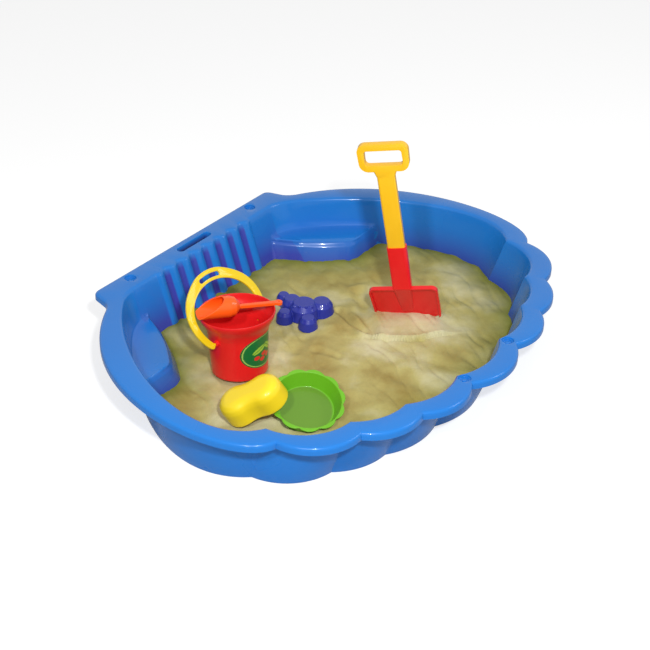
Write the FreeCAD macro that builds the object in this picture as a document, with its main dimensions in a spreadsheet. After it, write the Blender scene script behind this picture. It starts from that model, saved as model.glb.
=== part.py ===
"""Scalloped sandpit with its sand and its play set, as a parametric FreeCAD document.

The pit is one thin moulding in the shape of a scallop: a straight hinge flange with two ears at
the back, seven lobes round the front, a flat rim with a turned-down lip, drafted walls, two corner
seats and a fluted wall under the flange. Sand lies in it, and six loose toys lie in the sand.

Frame: millimetres, +Z up, ground at Z = 0, +X along the flange, the lobes towards -Y, and the
origin under the middle of the pit.
"""
import FreeCAD, Part
import math
import os
import Sketcher
from FreeCAD import Placement, Rotation, Vector

PARTS_FOLDER = "parts"
UP = Vector(0, 0, 1)
ACROSS = Vector(1, 0, 0)

# ---------------------------------------------------------------------------------------------
# Driving dimensions: one spreadsheet row each, with its alias
# ---------------------------------------------------------------------------------------------
DIMENSIONS = {
    # pit moulding
    "pit_length": 865,            # back edge of the flange to the tip of the front lobe
    "rim_height": 147,
    "wall": 4,
    "lip_depth": 18,              # turned-down outer edge of the rim
    "rim_round": 7,
    "mouth_chamfer": 2.5,
    "flute_pitch": 44,
    "flute_depth": 4.5,           # each flute swings this far either side of the wall's middle
    "seat_height": 76,
    "hand_slot_length": 110,
    "hand_slot_width": 18,
    "hand_slot_setback": 28,
    "hand_slot_collar": 20,       # how deep the moulding turns down round the slot
    "locator_radius": 13,         # round recesses in the rim that place a second shell on top
    "locator_depth": 6,           # of the first recess
    "locator_step": 0.5,          # each next one is this much shallower: no two floors in a plane
    "locator_mouth": 1,           # chamfer round each recess's mouth
    "locator_pocket_radius": 9,
    "locator_pocket_depth": 2,    # below the recess, with the pip standing in it
    "locator_pip_radius": 4.5,
    "locator_pip_rise": 2,
    # sand
    "sand_level": 30,
    # bucket and bail
    "bucket_height": 139,
    "bucket_base_radius": 61,
    "bucket_neck_radius": 65,
    "bucket_neck_height": 94,
    "bucket_rim_radius": 82,
    "bucket_wall": 2.2,
    "bucket_lean": 5.1,
    "pivot_height": 89,
    "pivot_pin_radius": 3,
    "pivot_play": 0.05,
    "pivot_boss_radius": 7,
    "pivot_reach": 71.5,            # outer face of the pivot bosses from the bucket's axis
    "bail_half_span": 80,         # pivot end of the bail's middle line from the bucket's axis
    "bail_half_width": 97.5,      # widest point of the bail's middle line
    "bail_low": 51,               # height of the widest point above the pivot
    "bail_rise": 80,              # from the widest point to the crown
    "bail_thickness": 4,
    "bail_band": 21,
    "bail_band_end": 14,
    "bail_crown_bulge": 4.5,      # how far the strap steps out round its slot
    "bail_slot_width": 10,
    "bail_swing": 35.5,            # how far the stored bail leans back
    # scoop
    "scoop_radius": 23,
    "scoop_length": 90,
    "scoop_wall": 2,
    "scoop_handle_length": 96,
    "scoop_handle_width": 11,
    "scoop_handle_pad": 8,        # radius of the round end
    "scoop_handle_thickness": 7,
    # spade
    "spade_width": 156,
    "spade_blade_length": 122,
    "spade_plate": 2.6,
    "spade_edge": 10,
    "spade_crank": 17,
    "socket_width": 43,
    "socket_depth": 22,
    "socket_length": 107,
    "shaft_width": 39,
    "shaft_depth": 18,
    "shaft_plug": 40,
    "grip_centre": 330,           # middle of the D grip above the blade's shoulders
    "grip_width": 110,
    "grip_height": 64,
    "grip_bar": 14,
    # moulds and sieve
    "mould_wall": 2.2,
    "loaf_length": 138,
    "loaf_width": 78,
    "loaf_waist_arc": 53.5,       # radius of each side's waist
    "loaf_height": 55,
    "loaf_round": 20,
    "animal_height": 37,
    "animal_spot": 4.5,
    "sieve_radius": 72,
    "sieve_depth": 36,
    "sieve_floor_radius": 60,
    "sieve_wall": 2,
    "sieve_scallop": 9,
    "sieve_scallops": 11,
}

doc = FreeCAD.newDocument("ScallopedSandpit")
sheet = doc.addObject("Spreadsheet::Sheet", "Dimensions")
for row, (alias, number) in enumerate(DIMENSIONS.items(), start=1):
    sheet.set(f"A{row}", alias)
    sheet.set(f"B{row}", str(number))
    sheet.setAlias(f"B{row}", alias)
doc.recompute()


class Size:
    """A length or angle that carries its number and the spreadsheet formula it comes from."""

    def __init__(self, value, formula):
        self.value = value
        self.formula = formula

    def __add__(self, other):
        other = as_size(other)
        return Size(self.value + other.value, f"({self.formula} + {other.formula})")

    def __sub__(self, other):
        other = as_size(other)
        return Size(self.value - other.value, f"({self.formula} - {other.formula})")

    def __mul__(self, factor):
        return Size(self.value * factor, f"({self.formula} * {factor})")

    def __truediv__(self, factor):
        return Size(self.value / factor, f"({self.formula} / {factor})")

    def __neg__(self):
        return Size(-self.value, f"(-1 * {self.formula})")

    def __float__(self):
        return float(self.value)


def as_size(number):
    return number if isinstance(number, Size) else Size(float(number), f"{float(number):g}")


def dim(alias):
    """The spreadsheet's dimension of that name."""
    return Size(float(sheet.get(alias)), f"Dimensions.{alias}")


def mm(alias):
    return float(sheet.get(alias))


def bind(thing, **sizes):
    """Bind properties of a document object to spreadsheet formulas."""
    for name, size in sizes.items():
        thing.setExpression(name.replace("_at_", "."), as_size(size).formula)
    return thing


def primitive(kind, name, placement=None, **sizes):
    """A Part primitive with its sizes bound to the sheet."""
    thing = doc.addObject(f"Part::{kind}", name)
    bind(thing, **sizes)
    if placement:
        thing.Placement = placement
    return thing


def shape_feature(name, shape, placement=None):
    """A Part::Feature for a form that neither a sketch nor a primitive gives."""
    thing = doc.addObject("Part::Feature", name)
    thing.Shape = shape
    if placement:
        thing.Placement = placement
    return thing


def cut(name, base, tool):
    result = doc.addObject("Part::Cut", name)
    result.Base = base
    result.Tool = tool
    return result


def fuse(name, pieces):
    result = doc.addObject("Part::MultiFuse", name)
    result.Shapes = pieces
    result.Refine = True
    return result


def loft(name, sections, ruled=False):
    result = doc.addObject("Part::Loft", name)
    result.Sections = sections
    result.Solid = True
    result.Ruled = ruled
    return result


def extrude(name, outline, **sizes):
    result = doc.addObject("Part::Extrusion", name)
    result.Base = outline
    result.DirMode = "Custom"
    result.Dir = UP
    result.Solid = True
    bind(result, **sizes)
    return result


# ---------------------------------------------------------------------------------------------
# Outlines of the pit
#
# A point is (half width, setback): its distance from the middle plane, and from the flange's
# back edge. Each outline lists its four valleys between lobes, from the side to the front, how
# far each lobe swells past the line between its valleys, and the two handles of the side curve.
# ---------------------------------------------------------------------------------------------
RIM = {
    "valleys": [(480, 638), (361, 750), (235, 808), (90, 831)],
    "swells": [34, 23, 27, 34],
    "side": [(336, 68), (615, 222), (587, 611)],
}
OPENING = {
    "valleys": [(456, 596), (341, 710), (229, 762), (85, 791)],
    "swells": [31, 16, 20, 25],
    "side": [(291, 77), (465, 205), (598, 510)],
    "back": 58,
    "corner": 235,
}
FLOOR = {
    "valleys": [(454, 557), (346, 673), (234, 727), (92, 756)],
    "swells": [27, 14, 16, 24],
    "side": [(300, 128), (400, 185), (580, 417)],
    "back": 104,
    "corner": 240,
}
EAR_TIP = (304, 0)
EAR_SOFTNESS = 14
EAR_NOTCH = (319, 57)
MIDDLE_SETBACK = 400          # the outlines grow away from this point on the middle plane
FLUTE_COUNT = 15              # half waves: eight grooves and the seven ridges between them


def pit_point(half_width, setback, height=0):
    return Vector(half_width, mm("pit_length") / 2 - setback, height)


def grown(point, grow):
    """Move an outline point away from the middle of the pit by grow."""
    away = Vector(point[0], point[1] - MIDDLE_SETBACK, 0)
    away.normalize()
    return (point[0] + away.x * grow, point[1] + away.y * grow)


def bezier(*points):
    curve = Part.BezierCurve()
    curve.setPoles(list(points))
    return curve.toShape()


def swelling_arc(start, end, swell):
    """An arc from start to end that swells away from the middle of the pit."""
    middle = (start + end) / 2
    chord = end - start
    outward = Vector(chord.y, -chord.x, 0)
    outward.normalize()
    if outward.dot(middle - pit_point(0, MIDDLE_SETBACK, middle.z)) < 0:
        outward = -outward
    return Part.Arc(start, middle + outward * swell, end).toShape()


def lobes_and_side(outline, height, grow):
    """The right-hand half from the side curve's start to the last valley, and the middle lobe."""
    def at(point):
        return pit_point(*grown(point, grow), height)
    valleys = [at(point) for point in outline["valleys"]]
    side = [at(point) for point in outline["side"]]
    edges = [bezier(*side, valleys[0])]
    for start, end, swell in zip(valleys, valleys[1:], outline["swells"]):
        edges.append(swelling_arc(start, end, swell))
    last = valleys[-1]
    middle_lobe = swelling_arc(last, Vector(-last.x, last.y, last.z), outline["swells"][-1])
    return edges, middle_lobe


def mirrored(edges):
    return [edge.mirror(Vector(0, 0, 0), ACROSS) for edge in edges]


def closed_wire(edges):
    return Part.Wire(Part.__sortEdges__(edges))


def rim_wire(height, grow=0):
    """The rim's outer edge, with its ears."""
    half, middle_lobe = lobes_and_side(RIM, height, grow)
    soft = EAR_SOFTNESS
    tip = pit_point(EAR_TIP[0] + grow, EAR_TIP[1] - grow, height)
    notch = pit_point(EAR_NOTCH[0] + grow, EAR_NOTCH[1], height)
    start = pit_point(*grown(RIM["side"][0], grow), height)
    flank = notch - tip
    flank.normalize()
    back_end = tip - ACROSS * soft
    flank_start = tip + flank * soft
    flank_end = notch - flank * soft
    half += [bezier(back_end, tip, flank_start), Part.makeLine(flank_start, flank_end),
             bezier(flank_end, notch, start)]
    back = Part.makeLine(Vector(-back_end.x, back_end.y, height), back_end)
    return closed_wire([back] + half + mirrored(half) + [middle_lobe])


def tub_wire(outline, height, grow=0):
    """A level of the tub's wall: fluted at the back, rounded corners, plain sides, then lobes."""
    half, middle_lobe = lobes_and_side(outline, height, grow)
    back = outline["back"] - grow
    pitch = mm("flute_pitch") / 2
    fluted_half = FLUTE_COUNT * pitch / 2
    start = pit_point(*grown(outline["side"][0], grow), height)
    handle = pit_point(*grown(outline["side"][1], grow), height)
    corner = pit_point(outline["corner"], back, height)
    rise = (corner.y - start.y) / (start.y - handle.y)
    bend = start - (handle - start) * rise
    half += [Part.makeLine(pit_point(fluted_half, back, height), corner),
             bezier(corner, bend, start)]
    flutes = []
    for turn in range(FLUTE_COUNT):
        left = pit_point(-fluted_half + turn * pitch, back, height)
        right = left + ACROSS * pitch
        swing = mm("flute_depth") * (1 if turn % 2 == 0 else -1)
        flutes.append(Part.Arc(left, (left + right) / 2 + Vector(0, swing, 0), right).toShape())
    return closed_wire(flutes + half + mirrored(half) + [middle_lobe])


# ---------------------------------------------------------------------------------------------
# Corner seats: the front edge bows into the pit, turns a round corner and runs back to the side
# wall. The riser slopes out to the floor.
# ---------------------------------------------------------------------------------------------
SEAT_EDGE = [(209, 48), (257, 152), (318, 230)]
SEAT_CORNER = (331, 246)
SEAT_END = [(354, 246), (470, 246)]
SEAT_RISER_SPREAD = 30
SEAT_FAR_CORNER = (640, -60)


def seat_edge(side, height, spread):
    """Outline of one seat at a height, its edge moved towards the sand by spread."""
    def at(point):
        return pit_point(side * (point[0] - spread * 0.78), point[1] + spread * 0.62, height)
    edge = [at(point) for point in SEAT_EDGE]
    end = [at(point) for point in SEAT_END]
    far_x, far_d = SEAT_FAR_CORNER
    corner = pit_point(side * far_x, far_d, height)
    beside = pit_point(side * (edge[0].x * side - 40), far_d, height)
    below = pit_point(side * far_x, SEAT_END[1][1] + spread * 0.62, height)
    return closed_wire([Part.Arc(*edge).toShape(), bezier(edge[2], at(SEAT_CORNER), end[0]),
                        Part.makeLine(end[0], end[1]), Part.makeLine(end[1], below),
                        Part.makeLine(below, corner), Part.makeLine(corner, beside),
                        Part.makeLine(beside, edge[0])])


def seat_block(name, side, top, inset):
    """Solid corner block; inset leaves the moulding's own thickness round it."""
    full_spread = SEAT_RISER_SPREAD
    base = shape_feature(f"{name}_base", seat_edge(side, -1, full_spread - inset))
    ledge = shape_feature(f"{name}_ledge", seat_edge(side, top, -inset))
    return loft(name, [base, ledge])


# ---------------------------------------------------------------------------------------------
# Pit moulding
# ---------------------------------------------------------------------------------------------
LOCATORS = [(211, 24), (-211, 24), (87, 810), (-87, 810)]


def build_pit():
    height = mm("rim_height")
    wall = mm("wall")
    lip = mm("lip_depth")
    chamfer = mm("mouth_chamfer")
    tub = loft("tub_outside", [
        shape_feature("tub_foot", tub_wire(FLOOR, 0)),
        shape_feature("tub_shoulder", tub_wire(OPENING, height - wall / 2, wall))])
    cavity = loft("tub_inside", [
        shape_feature("cavity_floor", tub_wire(FLOOR, wall, -wall)),
        shape_feature("cavity_mouth", tub_wire(OPENING, height))])
    mouth = loft("mouth_edge", [
        shape_feature("mouth_below", tub_wire(OPENING, height - chamfer)),
        shape_feature("mouth_above", tub_wire(OPENING, height + chamfer, chamfer * 2))],
        ruled=True)
    under_seats = []
    over_seats = []
    for side, label in ((1, "right"), (-1, "left")):
        under_seats.append(seat_block(f"{label}_seat_recess", side, mm("seat_height") - wall, wall))
        over_seats.append(seat_block(f"{label}_seat_block", side, mm("seat_height"), 0))
    recessed = cut("tub_with_recesses", tub, fuse("seat_recesses", under_seats))
    basin = cut("basin_space", cavity, fuse("seat_blocks", over_seats))
    lip_inner = extrude("lip_inner", shape_feature("lip_inside", rim_wire(height - lip - 1, -wall)),
                        LengthFwd=dim("lip_depth") + 1 - dim("wall"))
    skirted_rim = cut("skirted_rim", rim_blank(), lip_inner)
    collar = hand_slot("hand_slot_collar", wall, mm("hand_slot_collar"), 1)
    solid = fuse("pit_solid", [recessed, skirted_rim, collar] + locator_cups())
    opening = hand_slot("hand_slot", 0, mm("hand_slot_collar") + 5, -10)
    space = fuse("pit_space", [basin, mouth, opening] + locator_recesses())
    pit = cut("sand_pit", solid, space)
    return pit, basin


def rim_blank():
    """The rim's outline as deep as its lip, with the top outer edge rolled over in three steps."""
    height, roll = mm("rim_height"), mm("rim_round")
    levels = [(mm("lip_depth"), 0), (roll, 0), (roll * 0.29, -roll * 0.29), (0, -roll)]
    return loft("rim_blank", [
        shape_feature(f"rim_level_{index}", rim_wire(height - drop, grow))
        for index, (drop, grow) in enumerate(levels)], ruled=True)


def locator_place(half_width, setback, drop):
    return Placement(pit_point(half_width, setback, mm("rim_height") - drop), Rotation())


def locator_depth(index):
    return dim("locator_depth") - dim("locator_step") * index


def locator_cups():
    """Thickened rounds under the rim round each locating recess."""
    cups = []
    for index, (x, d) in enumerate(LOCATORS):
        for part, radius, depth in (
                ("cup", dim("locator_radius"), locator_depth(index)),
                ("pocket_cup", dim("locator_pocket_radius"),
                 locator_depth(index) + dim("locator_pocket_depth"))):
            drop = depth + dim("wall") * 0.6
            cups.append(primitive("Cylinder", f"locator_{part}_{index}",
                                  locator_place(x, d, float(drop)),
                                  Radius=radius + dim("wall") * 0.6, Height=drop - 1))
    return cups


def locator_recesses():
    """A round recess with a smaller pocket in its floor, and a pip standing in the pocket."""
    recesses = []
    mouth = dim("locator_mouth")
    for index, (x, d) in enumerate(LOCATORS):
        depth = locator_depth(index)
        bottom = depth + dim("locator_pocket_depth")
        bowl = primitive("Cylinder", f"locator_bowl_{index}", locator_place(x, d, float(depth)),
                         Radius=dim("locator_radius"), Height=depth - mouth)
        flare = primitive("Cone", f"locator_flare_{index}", locator_place(x, d, float(mouth)),
                          Radius1=dim("locator_radius"), Radius2=dim("locator_radius") + mouth * 2,
                          Height=mouth * 2)
        pocket = primitive("Cylinder", f"locator_pocket_{index}",
                           locator_place(x, d, float(bottom)),
                           Radius=dim("locator_pocket_radius"), Height=bottom - mouth)
        pip = primitive("Cylinder", f"locator_pip_{index}",
                        locator_place(x, d, float(bottom)),
                        Radius=dim("locator_pip_radius"), Height=dim("locator_pip_rise"))
        recesses += [fuse(f"locator_space_{index}", [bowl, flare]),
                     cut(f"locator_pip_space_{index}", pocket, pip)]
    return recesses


def hand_slot(name, grow, depth, drop):
    """The long hole in the flange that a hand carries the pit by, grown by grow all round."""
    top = mm("rim_height") - drop
    reach = (mm("hand_slot_length") - mm("hand_slot_width")) / 2
    half = mm("hand_slot_width") / 2 + grow
    setback = mm("hand_slot_setback")
    bottom = mm("rim_height") - depth
    front, back = setback + half, setback - half
    edges = [Part.makeLine(pit_point(-reach, back, bottom), pit_point(reach, back, bottom)),
             Part.Arc(pit_point(reach, back, bottom), pit_point(reach + half, setback, bottom),
                      pit_point(reach, front, bottom)).toShape(),
             Part.makeLine(pit_point(reach, front, bottom), pit_point(-reach, front, bottom)),
             Part.Arc(pit_point(-reach, front, bottom), pit_point(-reach - half, setback, bottom),
                      pit_point(-reach, back, bottom)).toShape()]
    return extrude(name, shape_feature(f"{name}_outline", closed_wire(edges)),
                   LengthFwd=top - bottom)


pit, basin = build_pit()


# ---------------------------------------------------------------------------------------------
# Places: where each toy stands or lies in the sand, and how it leans
# ---------------------------------------------------------------------------------------------
def leaning(point, axis, turn):
    """A placement with local Z along axis, after a turn about it."""
    return Placement(point, Rotation(UP, axis) * Rotation(UP, turn))


BUCKET_PLACE = leaning(pit_point(-206, 329, 33), Vector(0.037, 0.081, 1), -3)
BAIL_PLACE = BUCKET_PLACE * Placement(Vector(0, 0, mm("pivot_height")),
                                      Rotation(ACROSS, -mm("bail_swing")))
SCOOP_PLACE = Placement(pit_point(-276.6, 276.7, 195.95), Rotation(-33, 5.4, 0))
SPADE_PLACE = Placement(pit_point(151.7, 505.7, 133.3),
                        Rotation(Vector(0.413, -0.896, 0.162), Vector(), Vector(-0.14, 0.114, 0.984),
                                 "ZXY"))
ANIMAL_PLACE = leaning(pit_point(45, 305, 34), Vector(-0.02, -0.01, 1), 0)
SIEVE_PLACE = leaning(pit_point(-248.7, 537.2, 39.6), Vector(-0.21, -0.26, 1), 8)
LOAF_PLACE = Placement(pit_point(-327.7, 476.5, 65.3), Rotation(-53.3, -29.4, 8.2))


# ---------------------------------------------------------------------------------------------
# Sketches and outlines
# ---------------------------------------------------------------------------------------------
def origin_plane(body, role):
    return next(feature for feature in body.Origin.OriginFeatures if feature.Role == role)


def polygon_sketch(body, name, role, corners):
    """A closed polygon on one of the body's own planes, every corner placed by the sheet."""
    sketch = body.newObject("Sketcher::SketchObject", name)
    sketch.AttachmentSupport = [(origin_plane(body, role), "")]
    sketch.MapMode = "FlatFace"
    flat = [Vector(float(x), float(y), 0) for x, y in corners]
    for start, end in zip(flat, flat[1:] + flat[:1]):
        sketch.addGeometry(Part.LineSegment(start, end), False)
    count = len(corners)
    for edge in range(count):
        sketch.addConstraint(Sketcher.Constraint("Coincident", edge, 2, (edge + 1) % count, 1))
    for edge, corner in enumerate(corners):
        for direction, axis, size in zip(("DistanceX", "DistanceY"), (-2, -1), corner):
            if float(size) == 0:
                sketch.addConstraint(Sketcher.Constraint("PointOnObject", edge, 1, axis))
            else:
                index = sketch.addConstraint(
                    Sketcher.Constraint(direction, edge, 1, float(size)))
                sketch.setExpression(f"Constraints[{index}]", as_size(size).formula)
    return sketch


def revolved_body(name, corners):
    """A body turned about its own Z axis from a profile of (radius, height) corners."""
    body = doc.addObject("PartDesign::Body", name)
    sketch = polygon_sketch(body, f"{name}_profile", "XZ_Plane", corners)
    turn = body.newObject("PartDesign::Revolution", f"{name}_turned")
    turn.Profile = sketch
    turn.ReferenceAxis = (sketch, ["V_Axis"])
    turn.Angle = 360
    return body


def rounded_wire(points, radii, plane=None):
    """A closed outline through points, with each corner rounded by its radius."""
    edges = []
    ends = []
    count = len(points)
    for index, (point, radius) in enumerate(zip(points, radii)):
        to_last = points[index - 1] - point
        to_next = points[(index + 1) % count] - point
        half_turn = to_last.getAngle(to_next) / 2
        reach = radius / math.tan(half_turn)
        to_last.normalize()
        to_next.normalize()
        bisector = to_last + to_next
        bisector.normalize()
        centre = point + bisector * (radius / math.sin(half_turn))
        enter, leave = point + to_last * reach, point + to_next * reach
        edges.append(Part.Arc(enter, centre - bisector * radius, leave).toShape())
        ends.append((enter, leave))
    for index in range(count):
        start, end = ends[index][1], ends[(index + 1) % count][0]
        if (end - start).Length > 1e-6:
            edges.append(Part.makeLine(start, end))
    wire = closed_wire(edges)
    if plane:
        wire.Placement = plane
    return wire


def rounded_rectangle(width, depth, radius, height=0):
    corners = [Vector(x * width / 2, y * depth / 2, height)
               for x, y in ((-1, -1), (1, -1), (1, 1), (-1, 1))]
    return rounded_wire(corners, [radius] * 4)


def clipped_rectangle(width, depth, clip, height=0):
    """A rectangle with its corners cut off."""
    corners = []
    for x, y, first in ((-1, -1, 0), (1, -1, 1), (1, 1, 0), (-1, 1, 1)):
        ends = [(width / 2, depth / 2 - clip), (width / 2 - clip, depth / 2)]
        for along, aside in (ends[::-1] if first else ends):
            corners.append(Vector(x * along, y * aside, height))
    return Part.makePolygon(corners + corners[:1])


# ---------------------------------------------------------------------------------------------
# Bucket: turned shell with a flared mouth, and two bosses that the bail snaps into
# ---------------------------------------------------------------------------------------------
def build_bucket():
    wall = dim("bucket_wall")
    neck, neck_radius = dim("bucket_neck_height"), dim("bucket_neck_radius")
    top, rim = dim("bucket_height"), dim("bucket_rim_radius")
    flare = [(neck_radius + 4, neck + 14), (rim - 3, top - 13), (rim, top - 3)]
    shell = revolved_body("bucket_turned", [
        (0, 0), (dim("bucket_base_radius") - 1.5, 0), (dim("bucket_base_radius"), 1.5),
        (neck_radius, neck)] + flare + [
        (rim - 0.8, top), (rim - wall - 0.4, top - 0.4)] + [
        (radius - wall, height) for radius, height in reversed(flare[:-1])] + [
        (neck_radius - wall, neck), (dim("bucket_base_radius") - wall, wall), (0, wall)])
    bosses = []
    holes = []
    for side, label in ((1, "right"), (-1, "left")):
        facing = Rotation(UP, Vector(side, 0, 0))
        inside = mm("bucket_base_radius") + 2
        boss = primitive("Cylinder", f"{label}_boss",
                         Placement(Vector(side * inside, 0, mm("pivot_height")), facing),
                         Radius=dim("pivot_boss_radius"),
                         Height=dim("pivot_reach") - dim("bucket_base_radius") - 2)
        hole = primitive("Cylinder", f"{label}_boss_hole",
                         Placement(Vector(side * (inside - 3), 0, mm("pivot_height")), facing),
                         Radius=dim("pivot_pin_radius") + dim("pivot_play"),
                         Height=dim("pivot_reach") - dim("bucket_base_radius") + 5)
        bosses.append(boss)
        holes.append(hole)
    bossed = fuse("bucket_bossed", [shell] + bosses)
    bucket = cut("bucket_shell", bossed, fuse("boss_holes", holes))
    bucket.Placement = BUCKET_PLACE
    return bucket


# ---------------------------------------------------------------------------------------------
# Bail: a flat horseshoe strap, widest over the rim, with a finger slot in its crown
# ---------------------------------------------------------------------------------------------
def bail_point(turn, aside):
    """A point beside the bail's middle line: half an ellipse, drawn in below to the pivots."""
    wide, low = mm("bail_half_width"), mm("bail_low")
    across, up = math.cos(turn), math.sin(turn)
    rise = mm("bail_rise")
    if up < 0:
        rise = low / math.sqrt(1 - (mm("bail_half_span") / wide) ** 2)
    middle = Vector(wide * across, 0, low + rise * up)
    outward = Vector(rise * across, 0, wide * up)
    outward.normalize()
    return middle + outward * aside


def arc_chain(points):
    """Arcs through an odd number of points, three at a time."""
    return [Part.Arc(*points[index:index + 3]).toShape() for index in range(0, len(points) - 2, 2)]


def build_bail():
    first = -math.acos(mm("bail_half_span") / mm("bail_half_width"))
    sweep = math.pi - 2 * first
    end_half, band_half = mm("bail_band_end") / 2, mm("bail_band") / 2
    steps = 28

    def edge(sign):
        points = []
        for step in range(steps + 1):
            share = step / steps
            half = end_half + (band_half - end_half) * math.sin(math.pi * share) ** 0.8
            if sign > 0:
                crown = (first + sweep * share - math.pi / 2) / math.radians(27)
                half += mm("bail_crown_bulge") * math.exp(-crown ** 4)
            points.append(bail_point(first + sweep * share, sign * half))
        return points

    def cap(turn, ahead, aside=0):
        middle = bail_point(turn, aside)
        tangent = (bail_point(turn + 0.01, aside) - middle)
        tangent.normalize()
        return middle + tangent * ahead

    outer, inner = edge(1), edge(-1)
    strap = closed_wire(arc_chain(outer) + arc_chain(inner) + [
        Part.Arc(inner[0], cap(first, -end_half), outer[0]).toShape(),
        Part.Arc(outer[-1], cap(first + sweep, end_half), inner[-1]).toShape()])
    slot_half = mm("bail_slot_width") / 2
    slot_turns = [math.radians(90 + angle) for angle in (-15, -7.5, 0, 7.5, 15)]
    slot_out = [bail_point(turn, slot_half + 1) for turn in slot_turns]
    slot_in = [bail_point(turn, 1 - slot_half) for turn in slot_turns]
    slot = closed_wire(arc_chain(slot_out) + arc_chain(slot_in) + [
        Part.Arc(slot_in[0], cap(slot_turns[0], -slot_half, 1), slot_out[0]).toShape(),
        Part.Arc(slot_out[-1], cap(slot_turns[-1], slot_half, 1), slot_in[-1]).toShape()])
    thickness = dim("bail_thickness")
    strap_solid = extrude("bail_strap", shape_feature("bail_outline", strap),
                          LengthFwd=thickness / 2, LengthRev=thickness / 2)
    slot_solid = extrude("bail_slot", shape_feature("bail_slot_outline", slot),
                         LengthFwd=thickness, LengthRev=thickness)
    for thing in (strap_solid, slot_solid):
        thing.Dir = Vector(0, 1, 0)
    pins = [primitive("Cylinder", f"{label}_pin",
                      Placement(Vector(side * mm("bail_half_span"), 0, 0),
                                Rotation(UP, Vector(-side, 0, 0))),
                      Radius=dim("pivot_pin_radius"),
                      Height=dim("bail_half_span") - dim("pivot_reach") + 5.5)
            for side, label in ((1, "right"), (-1, "left"))]
    bail = fuse("bucket_bail", [cut("slotted_strap", strap_solid, slot_solid)] + pins)
    bail.Placement = BAIL_PLACE
    return bail


# ---------------------------------------------------------------------------------------------
# Scoop: a round hood cut away on a slope down to its lip, and a bar handle with a round end
# ---------------------------------------------------------------------------------------------
def trough(name, radius, length, start):
    """A round bar whose far end narrows in three steps to a blunt point."""
    facing = Rotation(UP, ACROSS)
    pieces = [primitive("Cylinder", f"{name}_barrel", Placement(Vector(start, 0, 0), facing),
                        Radius=radius, Height=length)]
    steps = [(1, 0), (0.87, 0.5), (0.5, 0.87), (0.12, 1)]
    for index, ((wide, near), (narrow, far)) in enumerate(zip(steps, steps[1:])):
        pieces.append(primitive(
            "Cone", f"{name}_end_{index}",
            Placement(Vector(start + float(length) + float(radius) * near, 0, 0), facing),
            Radius1=radius * wide, Radius2=radius * narrow, Height=radius * (far - near)))
    return fuse(name, pieces)


def build_scoop():
    radius, wall = dim("scoop_radius"), dim("scoop_wall")
    barrel = dim("scoop_length") - radius
    slope = 34
    outside = trough("scoop_outside", radius, barrel, 0)
    inside = trough("scoop_inside", radius - wall, barrel + 5, -5)
    above = primitive("Box", "scoop_slope",
                      Placement(Vector(-8, -mm("scoop_radius") * 2, 3 - mm("scoop_radius")),
                                Rotation(0, -slope, 0)),
                      Length=dim("scoop_length") * 2, Width=radius * 4, Height=radius * 4)
    shell = cut("scoop_shell", cut("scoop_bowl", outside, inside), above)
    half = mm("scoop_handle_width") / 2
    begin, end = mm("scoop_length") - 5, mm("scoop_length") + mm("scoop_handle_length")
    pad = mm("scoop_handle_pad")
    below = 2.5
    bar = rounded_wire([Vector(begin, -half * 0.8, -below), Vector(end - pad, -half, -below),
                        Vector(end - pad, half, -below), Vector(begin, half * 0.8, -below)],
                       [1] * 4)
    thickness = dim("scoop_handle_thickness")
    handle = extrude("scoop_bar", shape_feature("scoop_bar_outline", bar),
                     LengthFwd=thickness / 2, LengthRev=thickness / 2)
    bottom = -mm("scoop_handle_thickness") / 2 - below
    round_end = primitive("Cylinder", "scoop_pad",
                          Placement(Vector(end - pad, 0, bottom), Rotation()),
                          Radius=dim("scoop_handle_pad"), Height=thickness)
    eye = primitive("Cylinder", "scoop_eye",
                    Placement(Vector(end - pad, 0, bottom - 5), Rotation()),
                    Radius=2.5, Height=thickness * 3)
    scoop = cut("hand_scoop", fuse("scoop_joined", [shell, handle, round_end]), eye)
    scoop.Placement = SCOOP_PLACE
    return scoop


# ---------------------------------------------------------------------------------------------
# Spade: a blade moulded with its socket, and a shaft with a D grip plugged into it
# ---------------------------------------------------------------------------------------------
FORWARD = Vector(0, -1, 0)


def upright(points, depth=0):
    """Points given as (across, up), set in the spade's own face plane."""
    return [Vector(x, -depth, z) for x, z in points]


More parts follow.
